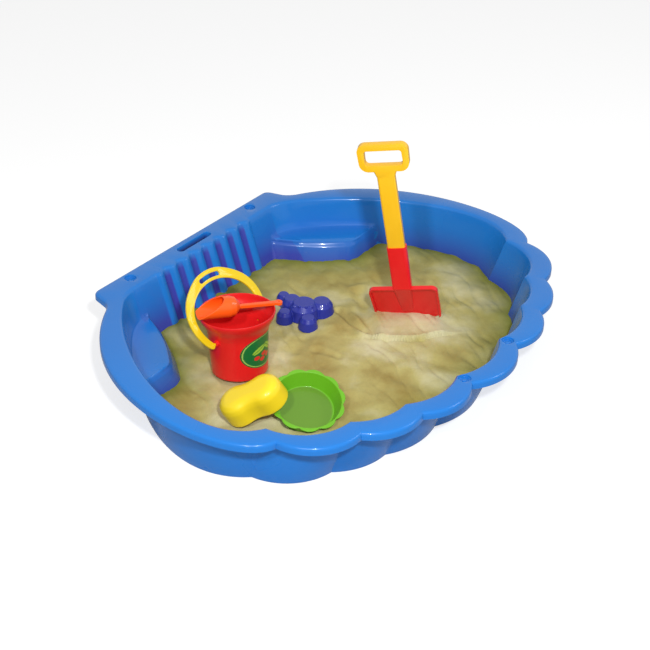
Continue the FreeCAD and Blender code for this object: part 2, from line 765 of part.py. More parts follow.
def build_spade_blade():
    half, length = mm("spade_width") / 2, mm("spade_blade_length")
    edge = 4.5
    crank = Placement(Vector(), Rotation(ACROSS, mm("spade_crank")))
    outline = upright([(-half, 0), (half, 0), (half - 3, -length + 18), (34, -length),
                       (-34, -length), (-half + 3, -length + 18)])
    blank = extrude("blade_blank", shape_feature("blade_outline",
                                                 rounded_wire(outline, [14, 14, 16, 30, 30, 16])),
                    LengthFwd=dim("spade_edge"))
    tray = upright([(-half + edge, -edge), (half - edge, -edge),
                    (half - edge - 5, -length - 25), (-half + edge + 5, -length - 25)],
                   mm("spade_plate"))
    hollow = extrude("blade_hollow", shape_feature("blade_tray",
                                                   rounded_wire(tray, [10, 10, 2, 2])),
                     LengthFwd=dim("spade_edge") * 2)
    for thing in (blank, hollow):
        thing.Dir = FORWARD
    ridge = loft("blade_ridge", [
        shape_feature("ridge_top", clipped_rectangle(mm("socket_width"), mm("socket_depth"), 4, 4)),
        shape_feature("ridge_foot", clipped_rectangle(26, 5, 1.5, -88), Placement(
            Vector(0, -1, 0), Rotation()))], ruled=True)
    plate = fuse("blade_plate", [cut("blade_dished", blank, hollow), ridge])
    plate.Placement = crank
    socket = extrude("spade_socket", shape_feature(
        "socket_outline", rounded_rectangle(mm("socket_width"), mm("socket_depth"), 6, -4)),
        LengthFwd=dim("socket_length") + 4)
    bore = extrude("socket_bore", shape_feature(
        "bore_outline", rounded_rectangle(mm("shaft_width"), mm("shaft_depth"), 5,
                                          mm("socket_length") - mm("shaft_plug"))),
        LengthFwd=dim("shaft_plug") + 5)
    blade = cut("spade_blade", fuse("blade_and_socket", [plate, socket]), bore)
    blade.Placement = SPADE_PLACE
    return blade


def build_spade_handle():
    neck = mm("grip_centre") - mm("grip_height") / 2
    shaft = extrude("spade_shaft", shape_feature(
        "shaft_outline", rounded_rectangle(mm("shaft_width"), mm("shaft_depth"), 5,
                                           mm("socket_length") - mm("shaft_plug"))),
        LengthFwd=dim("grip_centre") - dim("grip_height") / 2 - dim("socket_length")
        + dim("shaft_plug") - 14)
    flare = loft("spade_neck", [
        shape_feature("neck_foot", clipped_rectangle(mm("shaft_width"), mm("shaft_depth"), 3,
                                                     neck - 14)),
        shape_feature("neck_top", clipped_rectangle(mm("shaft_width") + 16, mm("grip_bar") + 2, 3,
                                                    neck + 6))], ruled=True)
    half, tall, bar = mm("grip_width") / 2, mm("grip_height") / 2, mm("grip_bar")
    centre = mm("grip_centre")
    outer = upright([(-half + 2, centre - tall), (half - 2, centre - tall), (half, centre + tall),
                     (-half, centre + tall)], -bar / 2 - 1)
    inner = upright([(-half + bar, centre - tall + bar), (half - bar, centre - tall + bar),
                     (half - bar - 1, centre + tall - bar), (-half + bar + 1, centre + tall - bar)],
                    -bar)
    ring = extrude("grip_ring", shape_feature("grip_outline", rounded_wire(outer, [20, 20, 17, 17])),
                   LengthFwd=dim("grip_bar") + 2)
    gap = extrude("grip_gap", shape_feature("grip_opening", rounded_wire(inner, [9, 9, 6, 6])),
                  LengthFwd=dim("grip_bar") * 2)
    for thing in (ring, gap):
        thing.Dir = FORWARD
    handle = fuse("spade_handle", [shaft, flare, cut("grip_loop", ring, gap)])
    handle.Placement = SPADE_PLACE
    return handle


# ---------------------------------------------------------------------------------------------
# Moulds and sieve
# ---------------------------------------------------------------------------------------------
def loaf_outline(inset, height):
    """The waisted outline, drawn in by inset: two round ends, and an arc into each side."""
    end, waist = mm("loaf_width") / 2 - inset, mm("loaf_waist_arc") + inset
    along = mm("loaf_length") / 2 - mm("loaf_width") / 2
    middle = math.sqrt((mm("loaf_width") / 2 + mm("loaf_waist_arc")) ** 2 - along ** 2)
    centres = {side: Vector(side * along, 0, height) for side in (1, -1)}
    edges = []
    meets = {}
    for way in (1, -1):
        pinch = Vector(0, way * middle, height)
        for side in (1, -1):
            towards = pinch - centres[side]
            towards.normalize()
            meets[side, way] = centres[side] + towards * end
        edges.append(Part.Arc(meets[1, way], pinch - Vector(0, way * waist, 0),
                              meets[-1, way]).toShape())
    for side in (1, -1):
        edges.append(Part.Arc(meets[side, 1], centres[side] + ACROSS * (side * end),
                              meets[side, -1]).toShape())
    return closed_wire(edges)


def loaf_block(name, inset):
    """The loaf as a solid with its top edge rolled over; inset makes the space inside it."""
    roll = mm("loaf_round")
    top = mm("loaf_height") - inset
    levels = [(inset, -inset)]
    for turn in (0, 30, 60, 90):
        angle = math.radians(turn)
        levels.append((inset + (roll - inset) * (1 - math.cos(angle)),
                       top - (roll - inset) * (1 - math.sin(angle))))
    return loft(name, [shape_feature(f"{name}_at_{index}", loaf_outline(shrink, height))
                       for index, (shrink, height) in enumerate(levels)], ruled=True)


def build_loaf():
    loaf = cut("loaf_mould", loaf_block("loaf_outside", 0),
               loaf_block("loaf_inside", mm("mould_wall")))
    loaf.Placement = LOAF_PLACE
    return loaf


# Each lobe of the animal: its middle, the radius of its foot and its share of the full height
ANIMAL_LOBES = [
    (0, -8, 38, 1.0), (0, 26, 27, 0.94),        # back and haunches
    (34, -33, 30, 0.9),                         # head
    (-34, -45, 23, 0.78),                       # near front foot
    (-46, 12, 20, 0.78),                        # near hind foot
    (12, 59, 18, 0.72),                         # far hind foot
]
# Where the round spots stand along its back
ANIMAL_SPOTS = [(-24, 2), (-22, -12), (-14, -24), (-2, -32)]


def animal_block(name, inset):
    """Every lobe is a drafted drum under a steeper, flat-topped crown; inset hollows them."""
    pieces = []
    for index, (along, aside, radius, share) in enumerate(ANIMAL_LOBES):
        start = -1 if inset else 0
        top = dim("animal_height") * share - inset
        widths = [radius, radius * 0.86, radius * 0.6]
        levels = [as_size(start), top * 0.68, top]
        for part, (low, high) in enumerate(zip(range(2), range(1, 3))):
            pieces.append(primitive(
                "Cone", f"{name}_{index}_{part}",
                Placement(Vector(along, aside, float(levels[low])), Rotation()),
                Radius1=as_size(widths[low]) - inset, Radius2=as_size(widths[high]) - inset,
                Height=levels[high] - levels[low]))
    return pieces


def animal_top(x, y):
    """How high the crowns stand at a point."""
    heights = [0]
    for along, aside, radius, share in ANIMAL_LOBES:
        away = math.hypot(x - along, y - aside) / radius
        if away < 0.86:
            heights.append(mm("animal_height") * share
                           * (1 - 0.32 * max(0, away - 0.6) / 0.26))
    return max(heights)


def build_animal():
    spots = [primitive("Cone", f"animal_spot_{index}",
                       Placement(Vector(x, y, animal_top(x, y) - 1), Rotation()),
                       Radius1=dim("animal_spot"), Radius2=dim("animal_spot") - 2, Height=3.5)
             for index, (x, y) in enumerate(ANIMAL_SPOTS)]
    outside = fuse("animal_outside", animal_block("animal_outside", 0) + spots)
    inside = fuse("animal_inside", animal_block("animal_inside", mm("mould_wall")))
    animal = cut("animal_mould", outside, inside)
    animal.Placement = ANIMAL_PLACE
    return animal


def build_sieve():
    wall, depth = dim("sieve_wall"), dim("sieve_depth")
    bowl = revolved_body("sieve_turned", [
        (0, 0), (dim("sieve_floor_radius"), 0), (dim("sieve_radius"), depth),
        (dim("sieve_radius") - wall, depth), (dim("sieve_floor_radius") - wall, wall), (0, wall)])
    turn = 2 * math.pi / mm("sieve_scallops")
    inner, bulge = mm("sieve_radius") + 1, mm("sieve_scallop")
    scallops = []
    for index in range(int(mm("sieve_scallops"))):
        ends = [Vector(inner * math.cos(turn * place), inner * math.sin(turn * place),
                       mm("sieve_depth") - mm("sieve_wall") - 1)
                for place in (index, index + 1)]
        middle = (ends[0] + ends[1]) / 2
        outward = Vector(middle.x, middle.y, 0)
        outward.normalize()
        scallops.append(Part.Arc(ends[0], middle + outward * bulge, ends[1]).toShape())
    brim = extrude("sieve_brim_blank", shape_feature("sieve_brim_outline", closed_wire(scallops)),
                   LengthFwd=dim("sieve_wall") + 1)
    mouth = primitive("Cylinder", "sieve_mouth", Radius=dim("sieve_radius") - dim("sieve_wall"),
                      Height=depth * 2)
    sieve = fuse("sand_sieve", [bowl, cut("sieve_brim", brim, mouth)])
    sieve.Placement = SIEVE_PLACE
    return sieve


# ---------------------------------------------------------------------------------------------
# Sand: fills the foot of the basin, heaped round the toys, with a seat for each of them
# ---------------------------------------------------------------------------------------------
# (half width, setback, rise, reach) of each heap or hollow in the sand
SAND_HEAPS = [(190, 520, 16, 70), (90, 420, 8, 90), (-60, 560, 6, 120), (-230, 480, 6, 60),
              (330, 330, 6, 110), (-320, 300, -4, 90), (60, 250, 4, 80), (-120, 200, -3, 70),
              (250, 640, -6, 70)]
SAND_GRID_PITCH = 85


def sand_height(half_width, setback):
    height = mm("sand_level")
    for x, d, rise, reach in SAND_HEAPS:
        away = math.hypot(half_width - x, setback - d) / reach
        height += rise * math.exp(-away * away)
    return height


def build_sand():
    columns = [[pit_point(x, d, sand_height(x, d))
                for d in range(0, 900, SAND_GRID_PITCH)]
               for x in range(-595, 600, SAND_GRID_PITCH)]
    surface = Part.BSplineSurface()
    surface.interpolate(columns)
    slab = extrude("sand_slab", shape_feature("sand_surface", surface.toShape()), LengthRev=80)
    body = doc.addObject("Part::Common", "sand_body")
    body.Base = basin
    body.Tool = slab
    play = 0.5
    wells = [
        primitive("Cone", "bucket_well", BUCKET_PLACE * Placement(Vector(0, 0, -play), Rotation()),
                  Radius1=dim("bucket_base_radius") + play,
                  Radius2=dim("bucket_neck_radius") + play, Height=dim("bucket_neck_height")),
        primitive("Cone", "sieve_well", SIEVE_PLACE * Placement(Vector(0, 0, -play), Rotation()),
                  Radius1=dim("sieve_floor_radius") + play,
                  Radius2=dim("sieve_radius") + play, Height=dim("sieve_depth")),
        primitive("Cylinder", "sieve_brim_well",
                  SIEVE_PLACE * Placement(Vector(0, 0, mm("sieve_depth") - 4), Rotation()),
                  Radius=dim("sieve_radius") + dim("sieve_scallop") + play, Height=30),
        extrude("loaf_well", shape_feature("loaf_well_outline", loaf_outline(-play, -play),
                                           LOAF_PLACE), LengthFwd=80),
        primitive("Box", "spade_well", SPADE_PLACE * Placement(
            Vector(), Rotation(ACROSS, mm("spade_crank"))) * Placement(
            Vector(-mm("spade_width") / 2 - play, -mm("spade_edge") - play - 3,
                   -mm("spade_blade_length") - play), Rotation()),
            Length=dim("spade_width") + 2 * play, Width=dim("spade_edge") + 2 * play + 3,
            Height=dim("spade_blade_length") * 2),
        *[primitive("Cylinder", f"animal_well_{index}",
                    ANIMAL_PLACE * Placement(Vector(along, aside, -play), Rotation()),
                    Radius=radius + 2 * play, Height=70)
          for index, (along, aside, radius, share) in enumerate(ANIMAL_LOBES)]]
    sand = cut("sand_fill", body, fuse("sand_wells", wells))
    return sand


NODES = {
    "sand_pit": pit,
    "sand_fill": build_sand(),
    "bucket_shell": build_bucket(),
    "bucket_bail": build_bail(),
    "hand_scoop": build_scoop(),
    "spade_blade": build_spade_blade(),
    "spade_handle": build_spade_handle(),
    "animal_mould": build_animal(),
    "loaf_mould": build_loaf(),
    "sand_sieve": build_sieve(),
}
doc.recompute()

# ---------------------------------------------------------------------------------------------
# Check and write
# ---------------------------------------------------------------------------------------------
for thing in doc.Objects:
    if "Invalid" in thing.State or "Error" in thing.State:
        raise RuntimeError(f"{thing.Name} failed: {thing.State}")
for node, thing in NODES.items():
    shape = thing.Shape
    if shape.isNull() or not shape.isValid():
        raise RuntimeError(f"{node} has no valid shape")
    thing.Label = node
    print(node, "solids", len(shape.Solids), "volume", round(shape.Volume / 1000), "cm3",
          "faces", len(shape.Faces), shape.BoundBox)
os.makedirs(PARTS_FOLDER, exist_ok=True)
for node, thing in NODES.items():
    thing.Shape.exportStep(os.path.join(PARTS_FOLDER, f"{node}.step"))
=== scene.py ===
"""A scalloped sandpit half full of sand, with a bucket, scoop, spade, sieve and two moulds."""
import math

import bmesh
import bpy
from mathutils import Matrix, Vector, bvhtree, geometry, kdtree, noise


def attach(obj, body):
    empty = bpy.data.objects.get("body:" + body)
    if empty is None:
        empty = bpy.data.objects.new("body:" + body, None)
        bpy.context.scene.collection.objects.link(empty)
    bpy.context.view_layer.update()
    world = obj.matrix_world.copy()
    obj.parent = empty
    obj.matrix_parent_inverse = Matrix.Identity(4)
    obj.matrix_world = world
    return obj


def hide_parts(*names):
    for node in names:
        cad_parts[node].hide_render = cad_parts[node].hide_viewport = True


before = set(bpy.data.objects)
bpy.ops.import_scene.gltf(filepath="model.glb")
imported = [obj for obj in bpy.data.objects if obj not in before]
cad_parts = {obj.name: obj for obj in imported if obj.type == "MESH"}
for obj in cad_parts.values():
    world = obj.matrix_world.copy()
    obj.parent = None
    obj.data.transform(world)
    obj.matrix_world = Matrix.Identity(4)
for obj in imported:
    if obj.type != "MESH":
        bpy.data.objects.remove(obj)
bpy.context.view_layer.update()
MM = 0.001


# ---------------------------------------------------------------------------
# Pit: one thin polyethylene moulding, glossy blue. A straight back flange with two ears, seven
# lobes, a flat rim with a turned-down lip, two hollow corner seats and a fluted back wall.
# ---------------------------------------------------------------------------
PIT_LENGTH = 865
RIM_HEIGHT = 147
PIT_WALL = 4
LIP_DEPTH = 18
RIM_ROUND = 7
MOUTH_ROUND = 7
FOOT_ROUND = 9
FLUTE_PITCH = 44
FLUTE_DEPTH = 4.5
FLUTED_HALF = 165
EAR_TIP = 304
EAR_NOTCH = (319, 57)
EAR_ROUND = 14
FLANGE_STRAIGHT_HALF = 290
SEAT_HEIGHT = 76
SEAT_ARC_CENTRE = (649.9, -92.4)
SEAT_ARC_RADIUS = 462.7
SEAT_ARC_START = 168
SEAT_ARC_SWEEP = 32.2
SEAT_CORNER = [(331, 246), (354, 246)]
SEAT_END = (640, 246)
SEAT_FOCUS = (200, 330)
SEAT_FACES = (0.78, -0.62)
SEAT_SETBACK_LIMIT = 300
SEAT_SPREAD = 30
SEAT_COVE = 9
SEAT_EDGE_ROUND = 7
SEAT_SAG = 2.2
SEAT_FADES_IN = 16
GROWS_FROM = 400
SIDE_STEPS = 80
LOBE_STEPS = 26
FRONT_LOBE_STEPS = 28
# The plan at three heights: where the lobes meet, how far each lobe swells past the line between
# its ends, and the curve of the side. All are (half width, setback from the flange) in mm.
RIM = {"valleys": [(480, 638), (361, 750), (235, 808), (90, 831)], "swells": [34, 23, 27, 34],
       "side": [(336, 68), (615, 222), (587, 611)]}
MOUTH = {"valleys": [(456, 596), (341, 710), (229, 762), (85, 791)], "swells": [31, 16, 20, 25],
         "side": [(291, 77), (465, 205), (598, 510)], "back": 58, "corner": 235}
FLOOR = {"valleys": [(454, 557), (346, 673), (234, 727), (92, 756)], "swells": [27, 14, 16, 24],
         "side": [(300, 128), (400, 185), (580, 417)], "back": 104, "corner": 240}


def pit_at(half_width, setback, height=0):
    """A place in the pit, from its distance to the middle plane and to the flange, in mm."""
    return Vector((half_width, PIT_LENGTH / 2 - setback, height))


def grown(point, grow):
    """A point of the plan moved away from the middle of the pit."""
    away = Vector((point[0], point[1] - GROWS_FROM)).normalized() * grow
    return (point[0] + away.x, point[1] + away.y)


def bezier(points, count):
    """count points along a Bezier curve, the last one left out."""
    found = []
    for step in range(count):
        level = [Vector(point) for point in points]
        while len(level) > 1:
            level = [a.lerp(b, step / count) for a, b in zip(level, level[1:])]
        found.append(level[0])
    return found


def lobe(start, end, swell, count):
    """count points along an arc that swells away from the middle of the pit."""
    start, end = Vector(start), Vector(end)
    chord = end - start
    outward = Vector((chord.y, -chord.x)).normalized()
    if outward.dot((start + end) / 2 - Vector((0, GROWS_FROM))) < 0:
        outward = -outward
    radius = (chord.length_squared / 4 + swell ** 2) / (2 * swell)
    centre = (start + end) / 2 + outward * (swell - radius)
    spread = math.asin(min(1, chord.length / 2 / radius))
    along = chord.normalized()
    turns = [spread * (2 * step / count - 1) for step in range(count)]
    return [centre + along * (radius * math.sin(turn)) + outward * (radius * math.cos(turn))
            for turn in turns]


def right_half(back_points, outline, grow):
    """The right-hand half of a level, from the middle of the back round to the front lobe. Every
    level has as many points as any other, so that one ring can be skinned to the next."""
    side = [grown(point, grow) for point in outline["side"]]
    valleys = [grown(point, grow) for point in outline["valleys"]]
    found = list(back_points) + bezier(side + [valleys[0]], SIDE_STEPS)
    for start, end, swell in zip(valleys, valleys[1:], outline["swells"]):
        found += lobe(start, end, swell, LOBE_STEPS)
    last = valleys[-1]
    front = lobe(last, (-last[0], last[1]), outline["swells"][-1], FRONT_LOBE_STEPS)
    return found + front[:FRONT_LOBE_STEPS // 2 + 1]


def whole_level(half):
    """A half level and its mirror image, as one ring."""
    left = [Vector((-point.x, point.y)) for point in reversed(half[1:-1])]
    return half + left


def rim_level(grow=0):
    """The rim's outer edge, with its ears: (half width, setback) points."""
    tip, notch = Vector((EAR_TIP + grow, -grow)), Vector((EAR_NOTCH[0] + grow, EAR_NOTCH[1]))
    flank = (notch - tip).normalized() * EAR_ROUND
    start = Vector(grown(RIM["side"][0], grow))
    back = [Vector((step / 92 * (FLANGE_STRAIGHT_HALF + grow), -grow)) for step in range(92)]
    ear = bezier([tip - Vector((EAR_ROUND, 0)), tip, tip + flank], 8)
    ear += bezier([tip + flank, notch - flank], 6)
    ear += bezier([notch - flank, notch, start], 8)
    return whole_level(right_half(back + ear, RIM, grow))


def tub_level(outline, grow=0):
    """One level of the tub's wall, with the flutes as a wave in its back."""
    back = outline["back"] - grow
    start = Vector(grown(outline["side"][0], grow))
    handle = Vector(grown(outline["side"][1], grow))
    fluted = [Vector((x, back - FLUTE_DEPTH * math.cos(math.pi * x / (FLUTE_PITCH / 2))))
              for x in (FLUTED_HALF * step / 60 for step in range(60))]
    plain = bezier([(FLUTED_HALF, back), (outline["corner"], back)], 24)
    corner = Vector((outline["corner"], back))
    rise = (start.y - corner.y) / (handle.y - start.y)
    bend = start - (handle - start) * rise
    turn = bezier([corner, bend, start], 30)
    return whole_level(right_half(fluted + plain + turn, outline, grow))


def wall_level(height, grow=0):
    """The tub's inner wall at a height, straight from the mouth to the floor."""
    share = (RIM_HEIGHT - height) / (RIM_HEIGHT - PIT_WALL)
    mouth, floor = tub_level(MOUTH, grow), tub_level(FLOOR, grow - PIT_WALL)
    return [a.lerp(b, share) for a, b in zip(mouth, floor)]


def seat_front():
    """A corner seat's front edge: an arc from the back wall, a round corner, a straight end."""
    turns = [math.radians(SEAT_ARC_START - SEAT_ARC_SWEEP * step / 24) for step in range(25)]
    arc = [Vector(SEAT_ARC_CENTRE) + Vector((math.cos(turn), math.sin(turn))) * SEAT_ARC_RADIUS
           for turn in turns]
    return arc + bezier([arc[-1]] + SEAT_CORNER, 8)[1:] + [Vector(SEAT_CORNER[1]), Vector(SEAT_END)]


seat_edge = seat_front()


def past_seat(point, spread):
    """The point brought forward to the seat's edge if it lies behind it, and how far it came.
    Spread moves the edge towards the sand."""
    shift = Vector((spread * SEAT_FACES[0], spread * SEAT_FACES[1]))
    seated = Vector((abs(point.x), point.y)) + shift
    if abs(point.x) > FLUTED_HALF and point.y < SEAT_SETBACK_LIMIT:
        for start, end in zip(seat_edge, seat_edge[1:]):
            met = geometry.intersect_line_line_2d(SEAT_FOCUS, seated, start, end)
            if met:
                edge = met - shift
                return Vector((math.copysign(edge.x, point.x), edge.y)), (seated - met).length
    return point, 0.0


def riser_spread(height):
    """How far the seat's drafted front stands out at a height, past its top edge."""
    return SEAT_SPREAD * (SEAT_HEIGHT - height) / SEAT_HEIGHT


def stack(mesh, levels):
    """Skin a stack of closed rings: the first is a circle moved into place, each next one is
    extruded from the last. A level is (points, height) or (points, one height for each)."""
    ring = []
    rings = []
    for points, height in levels:
        if not ring:
            ring = bmesh.ops.create_circle(mesh, segments=len(points), radius=1)["verts"]
        else:
            edges = list(dict.fromkeys(e for v in ring for e in v.link_edges
                                       if e.other_vert(v) in last))
            made = bmesh.ops.extrude_edge_only(mesh, edges=edges)["geom"]
            fresh = {v for v in made if isinstance(v, bmesh.types.BMVert)}
            ring = [next(e.other_vert(v) for e in v.link_edges if e.other_vert(v) in fresh)
                    for v in ring]
        last = set(ring)
        tall = height if isinstance(height, list) else [height] * len(points)
        for vertex, point, z in zip(ring, points, tall):
            vertex.co = pit_at(point[0], point[1], z) * MM
        rings.append(ring)
    for end in (rings[0], rings[-1]):
        bmesh.ops.contextual_create(mesh, geom=end)
    bmesh.ops.recalc_face_normals(mesh, faces=mesh.faces)
    return rings


def rounding(radius):
    """(how far in, how far up) of a convex quarter round."""
    turns = [math.pi / 2 * step / 4 for step in range(5)]
    return [(radius * (1 - math.cos(turn)), radius * math.sin(turn)) for turn in turns]


def seat_levels():
    """From the wall above the seats, over their ledges, down to the floor. A ledge starts with a
    cove at the wall, sags a little and ends in a rounded edge."""
    levels = []
    for index, plain in enumerate((86, 83, 80, 77, 74, 72, 70)):
        level, tall = [], []
        for point in wall_level(plain):
            edge, width = past_seat(point, 0)
            if width <= 0:
                level.append(point)
                tall.append(plain)
                continue
            ease = min(1, width / SEAT_FADES_IN)
            ease = ease * ease * (3 - 2 * ease)
            cove, round_off = min(SEAT_COVE, width * 0.4), min(SEAT_EDGE_ROUND, width * 0.4)
            along = [0, cove * 0.3, cove, width * 0.5, width - round_off, width - round_off * 0.3,
                     width][index]
            rise = [SEAT_COVE, SEAT_COVE * 0.3, 0, -SEAT_SAG, 0, -SEAT_EDGE_ROUND * 0.3,
                    -SEAT_EDGE_ROUND][index]
            level.append(point.lerp(edge, along / width))
            tall.append(plain + (SEAT_HEIGHT + rise - plain) * ease)
        levels.append((level, tall))
    for height in (66, 62, 57, 45, 30, 15, PIT_WALL):
        spread = riser_spread(height)
        levels.append(([past_seat(point, spread)[0] for point in wall_level(height)], height))
    return levels


def outer_levels():
    """The tub's outside from the ground up, hollow under the corner seats."""
    foot, mouth = tub_level(FLOOR), tub_level(MOUTH, PIT_WALL)
    recess_top = SEAT_HEIGHT - PIT_WALL
    levels = []
    for inward, height in ((FOOT_ROUND, 0), (FOOT_ROUND * 0.3, FOOT_ROUND * 0.3), (0, FOOT_ROUND)):
        spread = riser_spread(height) - PIT_WALL + inward
        level = [past_seat(point, spread)[0] for point in tub_level(FLOOR, -inward)]
        levels.append((level, height))
    for height, behind in ((40, True), (recess_top - 2, True), (recess_top + 2, False), (90, False),
                           (RIM_HEIGHT - PIT_WALL, False)):
        level, tall = [], []
        for low, high in zip(foot, mouth):
            point = low.lerp(high, height / RIM_HEIGHT)
            edge, width = past_seat(point, riser_spread(min(height, recess_top)) - PIT_WALL)
            ledge = width > 0 and abs(height - recess_top) < 3
            level.append(edge if behind else point)
            tall.append(recess_top if ledge else height)
        levels.append((level, tall))
    return levels


def pit_skin():
    """The whole moulding as one closed skin: up the outside, round the lip, over the rim and down
    inside."""
    levels = outer_levels()
    under = RIM_HEIGHT - PIT_WALL
    levels.append((rim_level(-PIT_WALL), under))
    hem = RIM_HEIGHT - LIP_DEPTH
    for height, grow in ((hem + 1, -PIT_WALL), (hem, -PIT_WALL + 1), (hem, -1), (hem + 1, 0),
                         (hem + 6, 0)):
        levels.append((rim_level(grow), height))
    for inward, up in rounding(RIM_ROUND):
        levels.append((rim_level(-inward), RIM_HEIGHT - RIM_ROUND + up))
    for inward, up in reversed(rounding(MOUTH_ROUND)):
        share = (MOUTH_ROUND - up) / (RIM_HEIGHT - PIT_WALL)
        mouth, floor = tub_level(MOUTH, inward), tub_level(FLOOR, inward)
        level = [a.lerp(b, share) for a, b in zip(mouth, floor)]
        levels.append((level, RIM_HEIGHT - MOUTH_ROUND + up))
    levels += [(wall_level(height), height) for height in (128, 112, 98)]
    mesh = bmesh.new()
    stack(mesh, levels + seat_levels())
    return mesh


def as_object(name, mesh, materials, body=None, smooth_angle=35):
    """A finished bmesh as an object, smooth except across sharp edges."""
    data = bpy.data.meshes.new(name)
    mesh.to_mesh(data)
    mesh.free()
    data.shade_smooth()
    data.set_sharp_from_angle(angle=math.radians(smooth_angle))
    made = bpy.data.objects.new(name, data)
    bpy.context.collection.objects.link(made)
    for material in materials:
        data.materials.append(material)
    if body:
        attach(made, body)
    return made


# ((half width, setback), depth) of each round locator recess
LOCATORS = [((211, 24), 6.0), ((-211, 24), 5.5), ((87, 810), 5.0), ((-87, 810), 4.5)]
LOCATOR_RADIUS = 13
POCKET_RADIUS = 9
PIP_RADIUS = 4.5
CUP_WALL = 2.4
SLOT_SETBACK = 28
SLOT_HALF_RUN = 46
SLOT_ROUND = 9
SLOT_COLLAR = 20


def turned(mesh, centre, profile):
    """Turn a profile of (radius, height) points, whole round, about an upright axis."""
    points = [mesh.verts.new((centre + Vector((radius, 0, height))) * MM)
              for radius, height in profile]
    edges = [mesh.edges.new(pair) for pair in zip(points, points[1:])]
    bmesh.ops.spin(mesh, geom=points + edges, cent=centre * MM, axis=(0, 0, 1),
                   angle=2 * math.pi, steps=40, use_merge=True)


def slot_column(mesh, levels):
    """An upright column on the hand slot's long round plan, from (height, growth) levels."""
    turns = [2 * math.pi * (step + 0.5) / 48 for step in range(48)]
    rings = []
    for height, grow in levels:
        radius = SLOT_ROUND + grow
        ring = [(math.copysign(SLOT_HALF_RUN, math.cos(turn)) + radius * math.cos(turn),
                 SLOT_SETBACK + radius * math.sin(turn)) for turn in turns]
        rings.append((ring, RIM_HEIGHT + height))
    stack(mesh, rings)


def under_rim():
    """What hangs under the rim: a cup below each recess and the turned-down collar of the slot."""
    mesh = bmesh.new()
    for place, depth in LOCATORS:
        pocket, floor = -depth - 2 - CUP_WALL, -depth - CUP_WALL
        inner, outer = POCKET_RADIUS + CUP_WALL, LOCATOR_RADIUS + CUP_WALL
        turned(mesh, pit_at(*place, RIM_HEIGHT),
               [(0, pocket), (inner - 0.4, pocket), (inner, pocket + 0.4), (inner, floor),
                (outer - 0.4, floor), (outer, floor + 0.4), (outer, -2), (0, -2)])
    bmesh.ops.remove_doubles(mesh, verts=mesh.verts, dist=1e-6)
    bmesh.ops.recalc_face_normals(mesh, faces=mesh.faces)
    slot_column(mesh, [(-SLOT_COLLAR, 3.4), (0.6 - SLOT_COLLAR, 4), (-2, 4)])
    return mesh


def rim_cutter():
    """What is taken out of the rim: four stepped round recesses with a low pip, the hand slot."""
    mesh = bmesh.new()
    for place, depth in LOCATORS:
        pocket = -depth - 2
        turned(mesh, pit_at(*place, RIM_HEIGHT),
               [(0, -depth), (PIP_RADIUS - 0.9, -depth), (PIP_RADIUS, -depth - 0.5),
                (PIP_RADIUS + 0.3, pocket), (POCKET_RADIUS - 0.6, pocket),
                (POCKET_RADIUS, pocket + 0.6), (POCKET_RADIUS, -depth),
                (LOCATOR_RADIUS - 0.6, -depth), (LOCATOR_RADIUS, 0.6 - depth),
                (LOCATOR_RADIUS, -1.4), (LOCATOR_RADIUS + 0.5, -0.4), (LOCATOR_RADIUS + 2, 0.05),
                (LOCATOR_RADIUS + 2, 3), (0, 3)])
    bmesh.ops.remove_doubles(mesh, verts=mesh.verts, dist=1e-6)
    bmesh.ops.recalc_face_normals(mesh, faces=mesh.faces)
    slot_column(mesh, [(-SLOT_COLLAR - 5, 0), (-1.6, 0), (-0.5, 0.5), (0, 1.8), (4, 1.8)])
    return mesh


def carved(target, cutter_mesh, operation="DIFFERENCE"):
    """Cut the cutter out of the target's mesh, or join it on, for good."""
    cutter = as_object("cutter", cutter_mesh, [])
    modifier = target.modifiers.new("cut", "BOOLEAN")
    modifier.object = cutter
    modifier.operation = operation
    modifier.solver = "EXACT"
    seen = target.evaluated_get(bpy.context.evaluated_depsgraph_get())
    result = bpy.data.meshes.new_from_object(seen)
    target.modifiers.clear()
    target.data = result
    bpy.data.objects.remove(cutter)


def node(material, kind, **inputs):
    """A shader node with some of its inputs set, or linked where a socket is given."""
    made = material.node_tree.nodes.new(kind)
    for name, value in inputs.items():
        socket = made.inputs[name.replace("_", " ")]
        if isinstance(value, bpy.types.NodeSocket):
            material.node_tree.links.new(value, socket)
        else:
            socket.default_value = value
    return made


def srgb(red, green, blue):
    """A colour as written on a paint card, 0 to 255, as linear light."""
    def linear(value):
        value /= 255
        return value / 12.92 if value <= 0.04045 else ((value + 0.055) / 1.055) ** 2.4
    return (linear(red), linear(green), linear(blue), 1)


def colour_mix(tree, blend="MIX"):
    """A node that mixes two colours."""
    made = tree.nodes.new("ShaderNodeMix")
    made.data_type = "RGBA"
    made.blend_type = blend
    return made


def read_attribute(material, name):
    """A node that reads one of a piece's own attributes."""
    made = node(material, "ShaderNodeAttribute")
    made.attribute_name = name
    return made


